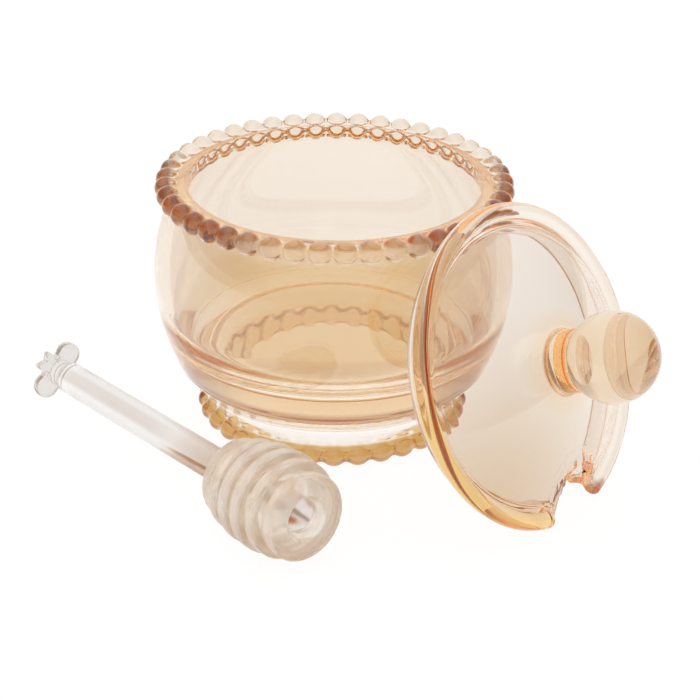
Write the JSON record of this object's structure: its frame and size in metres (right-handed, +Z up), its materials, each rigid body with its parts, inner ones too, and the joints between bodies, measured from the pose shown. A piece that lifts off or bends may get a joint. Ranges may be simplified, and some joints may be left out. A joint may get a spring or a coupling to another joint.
{
  "type": "honey pot",
  "caption": "Round beaded glass honey pot on a beaded foot, with a ball-knobbed lid, notched for the dipper, leaning on its rim and a ribbed dipper with a clear rod lying in front.",
  "frame": {"origin": "middle of the arrangement's footprint on the table: the pot, the lid leaning on it and the dipper in front", "axes": "+Z up, +Y from the front of the pot to its back, +X to the right where the lid leans"},
  "size_m": [0.188, 0.161, 0.0865],
  "materials": {
    "amber_glass": "polished, pale amber, see-through",
    "clear_plastic": "polished, clear",
    "milky_plastic": "smooth, milky, lets light through"
  },
  "bodies": {
    "pot": {"honey_pot": "amber_glass"},
    "lid": {"lid": "amber_glass"},
    "dipper": {"dipper_handle": "clear_plastic", "dipper_head": "milky_plastic"}
  },
  "joints": [
    {"name": "lid_lift", "type": "slide", "parent": "pot", "child": "lid", "axis": [0, 0, 1], "range_m": [0, 0.12]},
    {"name": "dipper_lift", "type": "slide", "parent": "pot", "child": "dipper", "axis": [0, 0, 1], "range_m": [0, 0.12]}
  ]
}
